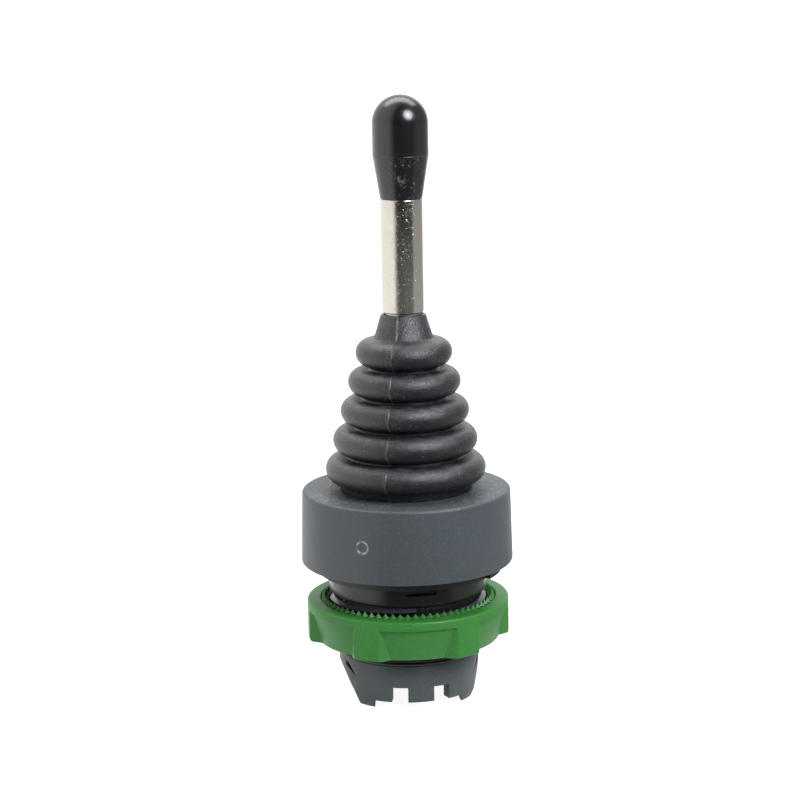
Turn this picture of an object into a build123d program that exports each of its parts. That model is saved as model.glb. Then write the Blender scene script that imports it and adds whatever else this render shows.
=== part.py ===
from build123d import *
from math import cos, dist, pi, radians, sin
import os

# Joystick operating head for a 22 mm panel hole, in millimetres.
# +Z points out of the panel along the lever. The origin is on the axis, on the panel's face, where
# the gasket seals. The head's front is -Y. Each function below makes one piece where it sits at rest.

# Clearances
running_gap = 0.05
press_gap = 0.02
loose_gap = 0.15

# How far a cutter reaches past what it cuts
cut_margin = 1.0

# Bezel, gasket and boot clamp, above the panel
gasket_thickness = 1.3
gasket_seat_radius = 11.3
gasket_width = 1.0
gasket_tab_width = 1.75
gasket_tab_half_angle = 40
bezel_height = 10.2
bezel_radius = 14.65
bezel_draft = 0.25
bezel_wall = 1.6
bezel_top_wall = 1.6
bezel_edge = 0.35
gate_mark_radius = 0.8
gate_mark_depth = 0.2
gate_mark_height = 5.1
gate_mark_angle = -34
clamp_ring_wall = 1.95
clamp_ring_gap = 0.45

# Collar through the panel
collar_radius = 10.9
collar_plain_length = 3.4
collar_length = 11.2
collar_bore_radius = 9.0
thread_depth = 0.55
end_ring_inset = 0.9
end_ring_height = 0.4
flange_thickness = 1.8
shoulder_depth = 6.6
shoulder_height = 0.8
shoulder_reach = 1.0
snap_rise = 0.9
snap_reach = 0.3
snap_height = 0.8

# Fixing nut, screwed on the collar
nut_gap_to_panel_face = 3.85
nut_height = 5.65
nut_wall = 2.95
nut_lugs = 6
nut_turn = -34
nut_band_height = 1.25
nut_edge = 0.35
lug_face_angle = 15
lug_root_angle = 27
scoop_depth_top = 0.3
scoop_depth_bottom = 1.4
crown_teeth = 72
crown_height = 0.35
crown_wall = 1.1
crown_margin = 0.1

# Castellated base under the collar
base_radius = 9.7
base_wall = 1.6
base_gap = 0.15
base_wall_height = 5.1
base_foot_height = 1.1
base_foot_taper = 0.45
base_front_half_width = 6.0
slot_angle = 17.5
slot_width = 2.25
slot_height = 2.05
slant_drop = 1.2
slant_inset = 1.95
pocket_margin = 0.1
pocket_top_inset = 0.6
pocket_low_inset = 1.4
pocket_top_depth = 0.55
pocket_low_depth = 2.2
pocket_end = 2.6

# Lever above the pivot
pivot_height = 2.5
spindle_radius = 2.0
sleeve_radius = 2.9
sleeve_length = 15.5
sleeve_edge = 0.25
sleeve_start_height = 36.0
boot_seat_radius = 2.5
boot_seat_length = 2.4
knob_radius = 3.8
knob_taper_height = 5.8
knob_straight_height = 4.2
insert_radius = 2.65
insert_length = 7.0
insert_recess = 0.4
spindle_in_knob = 6.6

# Bellows boot
boot_folds = 5
boot_wall = 0.8
boot_first_fold_radius = 6.63
boot_last_fold_radius = 11.05
boot_first_fold_drop = 2.3
boot_last_fold_rise = 2.9
boot_groove_depth = 1.9
boot_groove_width = 0.3
boot_top_radius = 3.13
boot_cone_radius = 4.05
boot_cone_height = 2.9
boot_top_gap = 0.3
boot_neck_radius = 8.95
boot_flange_height = 0.9
boot_flange_gap = 0.55

# Gimbal at the pivot
pin_radius = 0.8
gimbal_radius = 6.6
gimbal_wall = 1.8
gimbal_half_height = 1.3
yoke_wall = 1.6
yoke_drop = 1.45
yoke_rise = 2.0
yoke_flange_height = 0.8
hub_ball_radius = 4.2
hub_half_height = 2.6

# Tilt star under the gimbal, with a nub over each plunger
star_drop = 4.0
star_thickness = 0.9
star_arm_overhang = 1.1
star_arm_width = 2.4
star_boss_radius = 2.6
nub_radius = 0.9
nub_drop = 6.0
tail_radius = 1.5
tail_length = 6.2
clip_radius = 2.6
clip_thickness = 0.6
clip_groove_depth = 0.3

# Plungers and their guide
guide_tube_radius = 1.85
plunger_rest_gap = 0.1
plunger_head_radius = 1.85
plunger_head_height = 0.9
plunger_stem_radius = 1.0
plunger_recess = 0.85
guide_thickness = 2.0
guide_tube_length = 3.0
spring_seat_depth = 0.5

# Coil springs
return_spring_radius = 3.15
return_spring_wire = 0.25
return_spring_turns = 4.5
plunger_spring_radius = 1.4
plunger_spring_wire = 0.14
plunger_spring_turns = 5
coil_steps = 12

# Heights worked out from the sizes above
bezel_low = gasket_thickness
bezel_high = bezel_low + bezel_height
ceiling = bezel_high - bezel_top_wall
flange_high = bezel_low + flange_thickness
collar_low = -collar_length
base_high = collar_low - base_gap
base_wall_low = base_high - base_wall_height
base_low = base_wall_low - base_foot_height
guide_high = -shoulder_depth - shoulder_height
guide_low = guide_high - guide_thickness
nut_high = -nut_gap_to_panel_face
nut_low = nut_high - nut_height
sleeve_high = sleeve_start_height + sleeve_length
knob_cone_high = sleeve_high + knob_taper_height
knob_dome_low = knob_cone_high + knob_straight_height
boot_high = sleeve_start_height - boot_top_gap
boot_cone_low = boot_high - boot_cone_height
boot_flange_low = ceiling - boot_flange_height
boot_first_fold_height = boot_cone_low - boot_first_fold_drop
boot_last_fold_height = bezel_high + boot_last_fold_rise
snap_height_middle = collar_low + snap_rise
hub_low = pivot_height - hub_half_height
star_high = pivot_height - star_drop
star_low = star_high - star_thickness
plunger_high = pivot_height - nub_drop - plunger_rest_gap
plunger_low = base_wall_low + plunger_recess

# Radii worked out from the sizes above
bezel_bore_radius = bezel_radius - bezel_wall
housing_flange_radius = bezel_bore_radius - running_gap
clamp_ring_radius = bezel_bore_radius - running_gap
clamp_ring_bore_radius = clamp_ring_radius - clamp_ring_wall
yoke_flange_radius = clamp_ring_bore_radius - clamp_ring_gap
boot_opening_radius = boot_neck_radius + loose_gap
boot_flange_radius = bezel_bore_radius - boot_flange_gap
gasket_radius = gasket_seat_radius + gasket_width
gasket_tab_radius = gasket_seat_radius + gasket_tab_width
thread_root_radius = collar_radius - thread_depth
end_ring_radius = collar_radius - end_ring_inset
nut_bore_radius = collar_radius + loose_gap
nut_radius = nut_bore_radius + nut_wall
crown_outer_radius = nut_bore_radius + crown_wall
guide_radius = collar_bore_radius - running_gap
yoke_bore_radius = guide_radius - yoke_wall
gimbal_bore_radius = gimbal_radius - gimbal_wall
base_bore_radius = base_radius - base_wall
plunger_circle_radius = base_bore_radius - running_gap - guide_tube_radius
star_arm_radius = plunger_circle_radius + star_arm_overhang
boot_grip_radius = boot_seat_radius + loose_gap

upward = (Align.CENTER, Align.CENTER, Align.MIN)


def turned(*corners):
    """A solid turned about Z from corners given as (radius, height)."""
    with BuildPart() as piece:
        with BuildSketch(Plane.XZ):
            with BuildLine():
                Polyline(*corners, close=True)
            make_face()
        revolve(axis=Axis.Z)
    return piece.part


def tube(inner, outer, low, high):
    return turned((inner, low), (outer, low), (outer, high), (inner, high))


def post(radius, low, high, x=0, y=0):
    return Pos(x, y, low) * Cylinder(radius, high - low, align=upward)


def pivot_rod(radius, start, end, angle):
    """A rod lying at the pivot's height, from start to end along the direction at angle from +X."""
    along = Pos(0, 0, pivot_height) * Rot(0, 0, angle) * Pos(start, 0, 0) * Rot(0, 90, 0)
    return along * Cylinder(radius, end - start, align=upward)


def coil(radius, wire, turns, low, high, x=0, y=0):
    """A coil spring of six-sided wire, whose ends lie wholly between low and high."""
    rise = high - low - 2 * wire
    count = round(turns * coil_steps)
    path = []
    for step in range(count + 1):
        turn = 2 * pi * step / coil_steps
        path.append((radius * cos(turn), radius * sin(turn), low + wire + rise * step / count))
    with BuildPart() as spring:
        with BuildLine() as line:
            Polyline(*path)
        with BuildSketch(Plane(path[0], x_dir=(1, 0, 0), z_dir=line.wires()[0] % 0)):
            RegularPolygon(wire, 6)
        sweep(path=line.wires()[0], transition=Transition.RIGHT)
    return Pos(x, y, 0) * spring.part


def grip_knob():
    """The hand grip: a dome on a straight barrel that tapers down to the sleeve."""
    socket_radius = insert_radius + press_gap
    socket_high = sleeve_high + insert_recess + insert_length + press_gap
    with BuildPart() as knob:
        with BuildSketch(Plane.XZ):
            with BuildLine():
                CenterArc((0, knob_dome_low), knob_radius, start_angle=0, arc_size=90)
                Polyline(
                    (0, knob_dome_low + knob_radius),
                    (0, socket_high),
                    (socket_radius, socket_high),
                    (socket_radius, sleeve_high),
                    (sleeve_radius, sleeve_high),
                    (knob_radius, knob_cone_high),
                    (knob_radius, knob_dome_low),
                )
            make_face()
        revolve(axis=Axis.Z)
    return knob.part


def knob_insert():
    """The threaded bush moulded into the knob."""
    low = sleeve_high + insert_recess
    return tube(spindle_radius + press_gap, insert_radius, low, low + insert_length)


def lever_sleeve():
    """The plated tube over the spindle, between the knob and the boot."""
    sleeve = tube(spindle_radius + press_gap, sleeve_radius, sleeve_start_height, sleeve_high)
    rims = sleeve.edges().filter_by(GeomType.CIRCLE).group_by(SortBy.RADIUS)[-1]
    return fillet(rims, sleeve_edge)


def lever_spindle():
    """The steel spindle from the knob to the clip under the tilt star."""
    seat_low = sleeve_start_height - boot_seat_length
    tail_low = pivot_height - tail_length
    groove_high = star_low
    groove_low = star_low - clip_thickness
    groove_radius = tail_radius - clip_groove_depth
    spindle_high = sleeve_high + spindle_in_knob
    spindle = turned(
        (0, spindle_high),
        (spindle_radius, spindle_high),
        (spindle_radius, sleeve_start_height),
        (boot_seat_radius, sleeve_start_height),
        (boot_seat_radius, seat_low),
        (spindle_radius, seat_low),
        (spindle_radius, hub_low),
        (tail_radius, hub_low),
        (tail_radius, groove_high),
        (groove_radius, groove_high),
        (groove_radius, groove_low),
        (tail_radius, groove_low),
        (tail_radius, tail_low),
        (0, tail_low),
    )
    reach = spindle_radius + cut_margin
    return spindle - pivot_rod(pin_radius + press_gap, -reach, reach, 90)


def boot_fold_places():
    """The (crest radius, height) of each fold, from the top one down."""
    steps = boot_folds - 1
    spread = (boot_last_fold_radius - boot_first_fold_radius) / steps
    pitch = (boot_first_fold_height - boot_last_fold_height) / steps
    return [
        (boot_first_fold_radius + spread * fold, boot_first_fold_height - pitch * fold)
        for fold in range(boot_folds)
    ]


def boot_shape(inset, *ends):
    """A solid of revolution in the boot's outline, drawn in by inset: round folds on a sloping core."""
    folds = boot_fold_places()
    step = dist(folds[0], folds[1])
    fold_radius = (step - boot_groove_width) / 2
    core = boot_groove_depth + inset
    with BuildPart() as shape:
        with BuildSketch(Plane.XZ):
            with BuildLine():
                Polyline(
                    (boot_cone_radius - inset, boot_cone_low),
                    (folds[0][0] - core, folds[0][1]),
                    (folds[-1][0] - core, folds[-1][1]),
                    (boot_neck_radius - inset, folds[-1][1] - fold_radius),
                    *ends,
                    close=True,
                )
            make_face()
            for crest, height in folds:
                with Locations((crest - fold_radius, height)):
                    Circle(fold_radius - inset)
        revolve(axis=Axis.Z)
    return shape.part


def bellows_boot():
    """The rubber boot: a cone that grips the spindle, round folds and a clamped flange."""
    skin = boot_shape(
        0,
        (boot_neck_radius, ceiling),
        (boot_flange_radius, ceiling),
        (boot_flange_radius, boot_flange_low),
        (0, boot_flange_low),
        (0, boot_high),
        (boot_top_radius, boot_high),
    )
    inner_neck = boot_neck_radius - boot_wall
    hollow = boot_shape(
        boot_wall,
        (inner_neck, boot_flange_low),
        (0, boot_flange_low),
        (0, boot_cone_low),
    )
    return skin - hollow - post(boot_grip_radius, boot_cone_low, boot_high)


def boot_clamp_ring():
    """The spacer ring that presses the boot's flange up against the bezel."""
    return tube(clamp_ring_bore_radius, clamp_ring_radius, flange_high, boot_flange_low)


def bezel_ring():
    """The round bezel: a drafted cup, open below, with a round opening for the boot."""
    top_radius = bezel_radius - bezel_draft
    ring = turned(
        (bezel_bore_radius, bezel_low),
        (bezel_radius, bezel_low),
        (top_radius, bezel_high),
        (boot_opening_radius, bezel_high),
        (boot_opening_radius, ceiling),
        (bezel_bore_radius, ceiling),
    )
    outer_rims = ring.edges().filter_by(GeomType.CIRCLE).sort_by(SortBy.RADIUS)[-2:]
    ring = fillet(outer_rims, bezel_edge)
    top_rims = ring.edges().filter_by(GeomType.CIRCLE).group_by(Axis.Z)[-1]
    ring = chamfer(top_rims.sort_by(SortBy.RADIUS)[0], bezel_edge)
    return ring - gate_mark()


def gate_mark():
    """The cutter for the round mark that the mould's gate left on the bezel's side."""
    floor_radius = bezel_radius - bezel_draft * gate_mark_height / bezel_height - gate_mark_depth
    outward = Rot(0, 0, gate_mark_angle) * Pos(0, -floor_radius, bezel_low + gate_mark_height)
    return outward * Rot(90, 0, 0) * Cylinder(gate_mark_radius, cut_margin, align=upward)


def flange_gasket():
    """The panel seal: a flat ring with a wider tab on its right."""
    bore = gasket_seat_radius + running_gap
    ring = tube(bore, gasket_radius, 0, gasket_thickness)
    wide = tube(bore, gasket_tab_radius, 0, gasket_thickness)
    reach = 2 * gasket_tab_radius
    half = radians(gasket_tab_half_angle)
    with BuildPart() as sector:
        with BuildSketch():
            with BuildLine():
                Polyline(
                    (0, 0),
                    (reach * cos(half), -reach * sin(half)),
                    (reach * cos(half), reach * sin(half)),
                    close=True,
                )
            make_face()
        extrude(amount=gasket_thickness)
    return ring + (wide & sector.part)


def collar_body():
    """The collar: flange above, threaded barrel through the panel, shoulder and snap groove inside."""
    snap_low = snap_height_middle - snap_height / 2
    snap_high = snap_height_middle + snap_height / 2
    relief = collar_radius - thread_root_radius
    shoulder_radius = collar_bore_radius - shoulder_reach
    rim_high = pivot_height + yoke_rise
    return turned(
        (collar_bore_radius, collar_low),
        (end_ring_radius, collar_low),
        (end_ring_radius, collar_low + end_ring_height),
        (thread_root_radius, collar_low + end_ring_height),
        (thread_root_radius, -collar_plain_length - relief),
        (collar_radius, -collar_plain_length),
        (collar_radius, 0),
        (gasket_seat_radius, 0),
        (gasket_seat_radius, bezel_low),
        (housing_flange_radius, bezel_low),
        (housing_flange_radius, flange_high),
        (yoke_flange_radius, flange_high),
        (yoke_flange_radius, rim_high),
        (collar_bore_radius, rim_high),
        (collar_bore_radius, -shoulder_depth),
        (shoulder_radius, -shoulder_depth),
        (shoulder_radius, guide_high),
        (collar_bore_radius, guide_high),
        (collar_bore_radius, snap_high),
        (collar_bore_radius + snap_reach, snap_high - snap_reach),
        (collar_bore_radius + snap_reach, snap_low),
        (collar_bore_radius, snap_low),
    )


def crown_grooves():
    """The V grooves between the nut's crown teeth."""
    pitch = pi * (nut_bore_radius + crown_outer_radius) / crown_teeth
    low = nut_high - crown_margin
    rim = nut_high + crown_height
    top = rim + crown_margin
    half = pitch / 2 * (top - low) / (rim - low)
    with BuildPart() as groove:
        with BuildSketch(Plane.YZ.offset(nut_bore_radius - cut_margin)):
            with BuildLine():
                Polyline((-half, top), (half, top), (0, low), close=True)
            make_face()
        extrude(amount=crown_wall + cut_margin + crown_height)
    return [Rot(0, 0, 360 * tooth / crown_teeth) * groove.part for tooth in range(crown_teeth)]


def nut_scoop():
    """The cutter for one scoop between two lugs, facing -Y."""
    scoop_high = nut_high - nut_band_height
    floor_top = nut_radius - scoop_depth_top
    floor_low = nut_radius - scoop_depth_bottom
    far_radius = nut_radius + cut_margin
    ring = turned(
        (floor_low, nut_low),
        (far_radius, nut_low),
        (far_radius, scoop_high),
        (floor_top, scoop_high),
    )
    share = 180 / nut_lugs
    face = radians(share - lug_face_angle / 2)
    root = radians(share - lug_root_angle / 2)
    outer = (nut_radius * sin(face), nut_radius * cos(face))
    inner = (floor_low * sin(root), floor_low * cos(root))
    run = (outer[0] - inner[0], outer[1] - inner[1])
    far = (outer[0] + run[0], outer[1] + run[1])
    near = (inner[0] - run[0], inner[1] - run[1])
    with BuildPart() as plan:
        with BuildSketch(Plane.XY.offset(nut_low)):
            with BuildLine():
                Polyline(
                    (near[0], -near[1]),
                    (far[0], -far[1]),
                    (far[0], -2 * nut_radius),
                    (-far[0], -2 * nut_radius),
                    (-far[0], -far[1]),
                    (-near[0], -near[1]),
                    close=True,
                )
            make_face()
        extrude(amount=nut_height)
    return ring & plan.part


def fixing_nut():
    """The ring nut: a top band, lugs with scoops between them and a crown of teeth."""
    crown_high = nut_high + crown_height
    nut = turned(
        (nut_bore_radius, nut_low),
        (nut_radius - nut_edge, nut_low),
        (nut_radius, nut_low + nut_edge),
        (nut_radius, nut_high - nut_edge / 2),
        (nut_radius - nut_edge / 2, nut_high),
        (crown_outer_radius, nut_high),
        (crown_outer_radius - crown_height, crown_high),
        (nut_bore_radius, crown_high),
    )
    scoop = nut_scoop()
    share = 360 / nut_lugs
    scoops = [Rot(0, 0, nut_turn + share * (lug + 0.5)) * scoop for lug in range(nut_lugs)]
    return nut - scoops - crown_grooves()


def base_skirt():
    """The castellated base: a spigot in the collar, and a skirt with slots, feet and slanted sides."""
    spigot_radius = guide_radius
    snap_low = snap_height_middle - snap_height / 2 + running_gap
    snap_high = snap_height_middle + snap_height / 2 - running_gap
    bead = snap_reach - running_gap
    skirt = turned(
        (base_bore_radius, base_low),
        (base_radius - base_foot_taper, base_low),
        (base_radius, base_wall_low),
        (base_radius, base_high),
        (spigot_radius, base_high),
        (spigot_radius, snap_low),
        (spigot_radius + bead, snap_low),
        (spigot_radius + bead, snap_high - bead),
        (spigot_radius, snap_high),
        (spigot_radius, guide_low),
        (base_bore_radius, guide_low),
    )
    front_gap = base_opening(2 * base_front_half_width, base_wall_low)
    slot = base_opening(slot_width, base_wall_low + slot_height)
    slots = [Rot(0, 0, slot_angle) * slot, Rot(0, 0, -slot_angle) * slot]
    return skirt - front_gap - slots - side_cuts()


def base_opening(width, high):
    """The cutter for an opening through the front and back of the base, from below it up to high."""
    low = base_low - cut_margin
    return Pos(0, 0, low) * Box(width, 4 * base_radius, high - low, align=upward)


def side_cuts():
    """The cutters for the base's slanted sides and the three-cornered pockets at their ends."""
    reach = 2 * base_radius
    slant_reach = base_radius - slant_inset
    slant_high = base_high - slant_drop
    slant_low = base_low - cut_margin
    with BuildPart() as slant:
        with BuildSketch(Plane.XZ.offset(-reach)):
            with BuildLine():
                Polyline(
                    (base_radius, slant_high),
                    (slant_reach, base_low),
                    (slant_reach, slant_low),
                    (reach, slant_low),
                    (reach, slant_high),
                    close=True,
                )
            make_face()
        extrude(amount=2 * reach)
    with BuildPart() as pocket:
        with BuildSketch(Plane.XZ.offset(pocket_end)):
            with BuildLine():
                Polyline(
                    (base_radius + pocket_margin, base_high - pocket_top_depth),
                    (base_radius - pocket_top_inset, base_high - pocket_top_depth),
                    (base_radius - pocket_low_inset, base_high - pocket_low_depth),
                    close=True,
                )
            make_face()
        extrude(amount=reach)
        mirror(about=Plane.XZ)
    side = [slant.part, pocket.part]
    return side + [Rot(0, 0, 180) * cutter for cutter in side]


def plunger_angles():
    return {"front": -90, "right": 0, "back": 90, "left": 180}


def plunger_place(angle):
    return (
        plunger_circle_radius * cos(radians(angle)),
        plunger_circle_radius * sin(radians(angle)),
    )


def plunger_guide():
    """The guide plate: a disc with a spring seat and a guide tube for each plunger."""
    plate = post(guide_radius, guide_low, guide_high)
    for angle in plunger_angles().values():
        x, y = plunger_place(angle)
        plate += post(guide_tube_radius, guide_low - guide_tube_length, guide_low, x, y)
    for angle in plunger_angles().values():
        x, y = plunger_place(angle)
        plate -= post(plunger_stem_radius + running_gap, guide_low - guide_tube_length, guide_high, x, y)
        seat_radius = plunger_spring_radius + plunger_spring_wire + running_gap
        plate -= post(seat_radius, guide_high - spring_seat_depth, guide_high, x, y)
    return plate


def plunger(angle):
    """A plunger: a flat head under the star's nub and a stem down through the guide."""
    x, y = plunger_place(angle)
    head_low = plunger_high - plunger_head_height
    head = post(plunger_head_radius, head_low, plunger_high, x, y)
    return head + post(plunger_stem_radius, plunger_low, head_low, x, y)


def plunger_spring(angle):
    x, y = plunger_place(angle)
    low = guide_high - spring_seat_depth
    high = plunger_high - plunger_head_height
    return coil(plunger_spring_radius, plunger_spring_wire, plunger_spring_turns, low, high, x, y)


def return_spring():
    """The spring between the guide plate and the star, which centres the lever."""
    return coil(return_spring_radius, return_spring_wire, return_spring_turns, guide_high, star_low)


def gimbal_yoke():
    """The fixed ring of the gimbal, seated on the collar's rim, with a hole for each outer pin."""
    low = pivot_height - yoke_drop
    rim = pivot_height + yoke_rise
    yoke = turned(
        (yoke_bore_radius, low),
        (guide_radius, low),
        (guide_radius, rim),
        (yoke_flange_radius, rim),
        (yoke_flange_radius, rim + yoke_flange_height),
        (yoke_bore_radius, rim + yoke_flange_height),
    )
    reach = collar_bore_radius + cut_margin
    return yoke - pivot_rod(pin_radius + press_gap, -reach, reach, 0)


def outer_pivot_pins():
    """The two pins that carry the gimbal ring in the yoke, along X."""
    start = gimbal_bore_radius + loose_gap
    end = guide_radius - loose_gap
    return Compound(children=[pivot_rod(pin_radius, start, end, angle) for angle in (0, 180)])


def gimbal_ring():
    """The moving ring of the gimbal: it turns on the outer pins and carries the cross pin."""
    low = pivot_height - gimbal_half_height
    high = pivot_height + gimbal_half_height
    ring = tube(gimbal_bore_radius, gimbal_radius, low, high)
    hole = pin_radius + running_gap
    reach = gimbal_radius + cut_margin
    return ring - pivot_rod(hole, -reach, reach, 0) - pivot_rod(hole, -reach, reach, 90)


def cross_pin():
    """The pin through the hub and the gimbal ring, along Y."""
    end = gimbal_radius - loose_gap
    return pivot_rod(pin_radius, -end, end, 90)


def lever_hub():
    """The ball-shaped hub on the spindle, cut flat above and below."""
    ball = Pos(0, 0, pivot_height) * Sphere(hub_ball_radius)
    slab = post(hub_ball_radius, hub_low, hub_low + 2 * hub_half_height)
    reach = hub_ball_radius + cut_margin
    bore = post(spindle_radius + press_gap, pivot_height - reach, pivot_height + reach)
    return (ball & slab) - bore - pivot_rod(pin_radius + press_gap, -reach, reach, 90)


def tilt_star():
    """The four-armed plate on the spindle, with a round nub under each arm."""
    arm_length = 2 * star_arm_radius
    arm = Pos(0, 0, star_low) * Box(arm_length, star_arm_width, star_thickness, align=upward)
    disc = post(star_arm_radius, star_low, star_high)
    star = (arm + Rot(0, 0, 90) * arm) & disc
    star += post(plunger_circle_radius - nub_radius - star_arm_width / 2, star_low, star_high)
    star += post(star_boss_radius, star_high, hub_low)
    nub_centre = pivot_height - nub_drop + nub_radius
    for angle in plunger_angles().values():
        x, y = plunger_place(angle)
        star += post(nub_radius, nub_centre, star_low + star_thickness / 2, x, y)
        star += Pos(x, y, nub_centre) * Sphere(nub_radius)
    return star - post(tail_radius + press_gap, star_low - cut_margin, hub_low + cut_margin)


def retaining_clip():
    """The E-clip in the spindle's groove, under the star."""
    low = star_low - clip_thickness
    grip = tail_radius - clip_groove_depth + press_gap
    clip = tube(grip, clip_radius, low, star_low)
    mouth = Pos(clip_radius, 0, low) * Box(2 * clip_radius, 2 * grip, clip_thickness, align=upward)
    return clip - mouth


pieces = {
    "grip_knob": grip_knob(),
    "knob_insert": knob_insert(),
    "lever_sleeve": lever_sleeve(),
    "lever_spindle": lever_spindle(),
    "bellows_boot": bellows_boot(),
    "boot_clamp_ring": boot_clamp_ring(),
    "bezel_ring": bezel_ring(),
    "flange_gasket": flange_gasket(),
    "collar_body": collar_body(),
    "fixing_nut": fixing_nut(),
    "base_skirt": base_skirt(),
    "plunger_guide": plunger_guide(),
    "gimbal_yoke": gimbal_yoke(),
    "outer_pivot_pins": outer_pivot_pins(),
    "gimbal_ring": gimbal_ring(),
    "cross_pin": cross_pin(),
    "lever_hub": lever_hub(),
    "tilt_star": tilt_star(),
    "retaining_clip": retaining_clip(),
    "return_spring": return_spring(),
}
for side, angle in plunger_angles().items():
    pieces[f"plunger_{side}"] = plunger(angle)
    pieces[f"plunger_spring_{side}"] = plunger_spring(angle)

os.makedirs("parts", exist_ok=True)
for name, piece in pieces.items():
    export_step(piece, f"parts/{name}.step")
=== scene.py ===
# %% [markdown]
# # A joystick head for a control panel
#
# The object is an operating head that clamps in a round panel hole. A plated lever with a glossy
# cap stands in a ribbed rubber boot, the boot sits in a slate-grey bezel, and behind the panel
# come a seal, a dark collar, a green ring nut and a grey base with slots and feet.
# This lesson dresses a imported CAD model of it: the outer pieces and the springs are modelled again
# with softer edges, fine teeth and threads, and the other inner pieces only get a finish.

# %% Load the frame
from math import acos, atan2, cos, degrees, hypot, pi, radians, sin, sqrt

import bpy
from mathutils import Matrix, Vector


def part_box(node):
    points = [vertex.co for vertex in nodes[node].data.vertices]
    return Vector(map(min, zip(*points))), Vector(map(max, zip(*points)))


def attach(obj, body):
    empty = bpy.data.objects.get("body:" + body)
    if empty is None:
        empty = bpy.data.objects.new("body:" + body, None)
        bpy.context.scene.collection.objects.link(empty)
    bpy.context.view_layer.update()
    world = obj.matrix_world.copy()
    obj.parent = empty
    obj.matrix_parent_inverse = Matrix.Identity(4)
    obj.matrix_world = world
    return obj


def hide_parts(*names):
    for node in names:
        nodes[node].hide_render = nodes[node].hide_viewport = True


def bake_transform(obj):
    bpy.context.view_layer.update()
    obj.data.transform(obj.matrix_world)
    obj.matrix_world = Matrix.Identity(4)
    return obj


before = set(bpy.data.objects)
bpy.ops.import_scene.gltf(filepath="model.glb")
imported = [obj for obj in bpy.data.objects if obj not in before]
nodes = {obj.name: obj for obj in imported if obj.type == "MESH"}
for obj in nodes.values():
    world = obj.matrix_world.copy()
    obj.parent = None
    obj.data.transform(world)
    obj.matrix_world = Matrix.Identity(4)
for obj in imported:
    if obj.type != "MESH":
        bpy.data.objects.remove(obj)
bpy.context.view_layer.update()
print("loaded", len(nodes), "CAD nodes")

# %% [markdown]
# ## Units and places
#
# Blender works in metres and the object is measured in millimetres, so one name turns the second
# into the first. Heights are read from the CAD nodes wherever a node ends there, so that a piece
# made here seats on its neighbours. Places round the object are given as degrees from its front.

# %% Units and heights
mm = 0.001


def low(node):
    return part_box(node)[0].z


def high(node):
    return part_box(node)[1].z


def reach(node):
    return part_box(node)[1].y


def left_of_front(angle):
    """The azimuth that lies some degrees to the left of the object's front."""
    return radians(-90 - angle)


def toward(azimuth):
    """The level direction at an azimuth."""
    return Vector((cos(azimuth), sin(azimuth), 0))


panel = 0.0
bezel_wall = 1.6 * mm
bezel_low = low("bezel_ring")
bezel_high = high("bezel_ring")
bezel_radius = reach("bezel_ring")
boot_high = high("bellows_boot")
boot_flange_low = low("bellows_boot")
boot_flange_radius = reach("bellows_boot")
sleeve_low = low("lever_sleeve")
sleeve_high = high("lever_sleeve")
sleeve_radius = reach("lever_sleeve")
knob_high = high("grip_knob")
knob_radius = reach("grip_knob")
nut_low = low("fixing_nut")
nut_radius = reach("fixing_nut")
crown_high = high("fixing_nut")
collar_low = low("collar_body")
base_low = low("base_skirt")
print("bezel from", round(bezel_low / mm, 2), "to", round(bezel_high / mm, 2), "mm")

# %% [markdown]
# ## Modelling by turning
#
# Most pieces here are round, as if turned on a lathe. By hand one would add a plane, merge it into
# one vertex, extrude that vertex along half of the section and spin the line about the axis.
# The helper does just that. An arc in the outline is a list of points from a formula.


# %% Lathe helper
merge_distance = mm / 1000


def switch_to(mode):
    bpy.ops.object.mode_set(mode=mode)


def deselect():
    if bpy.context.mode != "OBJECT":
        switch_to("OBJECT")
    bpy.ops.object.select_all(action="DESELECT")


def pick(piece):
    """Make one object the only selected one and the active one."""
    deselect()
    piece.select_set(True)
    bpy.context.view_layer.objects.active = piece


def merge_doubles():
    """In Edit Mode, merge the vertices that lie on top of each other."""
    bpy.ops.mesh.select_all(action="SELECT")
    bpy.ops.mesh.remove_doubles(threshold=merge_distance)


def face_outward():
    """In Edit Mode, turn every face outward."""
    bpy.ops.mesh.select_all(action="SELECT")
    bpy.ops.mesh.normals_make_consistent(inside=False)


def arc(centre, radius, start, end, count):
    """Points of an arc as (radius, height), from the start angle to the end angle in degrees."""
    turn = radians(end - start) / count
    angles = [radians(start) + turn * step for step in range(count + 1)]
    return [(centre[0] + radius * cos(a), centre[1] + radius * sin(a)) for a in angles]


def draw(name, points):
    """A line of edges through the points: one vertex, extruded from each point to the next."""
    deselect()
    bpy.ops.mesh.primitive_plane_add(size=mm)
    piece = bpy.context.object
    piece.name = name
    piece.data.name = name
    switch_to("EDIT")
    bpy.ops.mesh.merge(type="CENTER")
    bpy.ops.transform.translate(value=points[0])
    for before, after in zip(points, points[1:]):
        step = Vector(after) - Vector(before)
        bpy.ops.mesh.extrude_vertices_move(TRANSFORM_OT_translate={"value": step})
    merge_doubles()
    return piece


def lathe(name, outline, steps=160, azimuth=0.0):
    """A closed piece turned about Z from (radius, height) points, from a first azimuth on."""
    across, along = cos(azimuth), sin(azimuth)
    closed = outline + outline[:1]
    piece = draw(name, [(r * across, r * along, z) for r, z in closed])
    bpy.ops.mesh.spin(steps=steps, angle=2 * pi, center=(0, 0, 0), axis=(0, 0, 1))
    merge_doubles()
    face_outward()
    switch_to("OBJECT")
    smooth(piece)
    return piece


def smooth(piece, angle=35):
    pick(piece)
    bpy.ops.object.shade_smooth_by_angle(angle=radians(angle))


# %% [markdown]
# ## Cutting and rounding
#
# Slots and scoops are cut with a Boolean modifier and the fresh edges are rounded with a Bevel
# modifier, as moulded plastic never has a knife edge. Both are applied at once, so that what is
# left is a plain mesh. The cutter is deleted after its use.


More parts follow.
